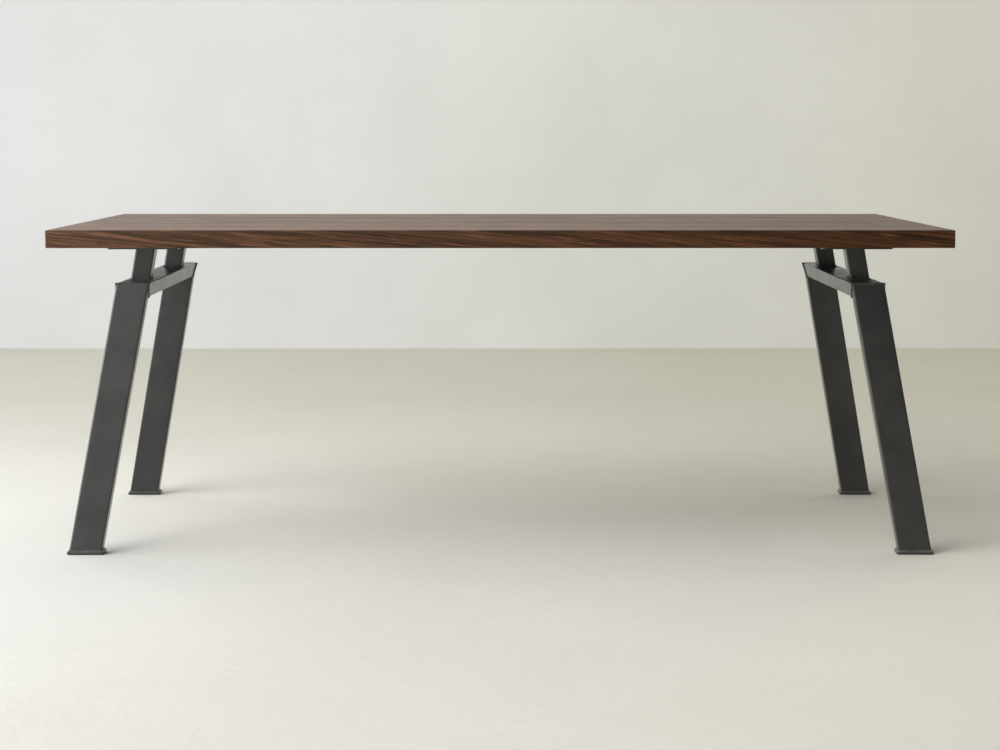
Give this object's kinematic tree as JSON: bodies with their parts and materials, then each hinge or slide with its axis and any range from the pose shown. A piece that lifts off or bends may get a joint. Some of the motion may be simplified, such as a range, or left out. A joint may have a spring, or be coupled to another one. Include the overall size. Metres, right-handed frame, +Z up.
{
  "type": "butcher block table",
  "caption": "Rectangular table with a thick glued-up wooden stave top on two welded steel end frames with leaning tube legs.",
  "frame": {"origin": "on the floor, under the middle of the top", "axes": "+X along the table's length, +Y towards its rear long side, +Z up"},
  "size_m": [2.1, 1, 0.775],
  "materials": {
    "walnut": "satin oiled dark walnut, long grain along the staves",
    "black_steel": "satin charcoal powder coat",
    "floor_pad": "matte",
    "fastener": "zinc-plated, satin",
    "insert": "machined"
  },
  "bodies": {
    "root": {"stave_01": "walnut", "stave_02": "walnut", "stave_03": "walnut", "stave_04": "walnut", "stave_05": "walnut", "stave_06": "walnut", "stave_07": "walnut", "stave_08": "walnut", "stave_09": "walnut", "stave_10": "walnut", "stave_11": "walnut", "stave_12": "walnut", "stave_13": "walnut", "stave_14": "walnut", "stave_15": "walnut", "stave_16": "walnut", "stave_17": "walnut", "stave_18": "walnut", "stave_19": "walnut", "stave_20": "walnut", "stave_21": "walnut", "stave_22": "walnut", "stave_23": "walnut", "stave_24": "walnut", "stave_25": "walnut", "left_mounting_plate": "black_steel", "left_crossbeam": "black_steel", "left_front_stub": "black_steel", "left_front_leg": "black_steel", "left_front_foot_plate": "black_steel", "left_front_floor_pad": "floor_pad", "left_rear_stub": "black_steel", "left_rear_leg": "black_steel", "left_rear_foot_plate": "black_steel", "left_rear_floor_pad": "floor_pad", "left_screws": "fastener", "left_inserts": "insert", "right_mounting_plate": "black_steel", "right_crossbeam": "black_steel", "right_front_stub": "black_steel", "right_front_leg": "black_steel", "right_front_foot_plate": "black_steel", "right_front_floor_pad": "floor_pad", "right_rear_stub": "black_steel", "right_rear_leg": "black_steel", "right_rear_foot_plate": "black_steel", "right_rear_floor_pad": "floor_pad", "right_screws": "fastener", "right_inserts": "insert"}
  },
  "joints": []
}
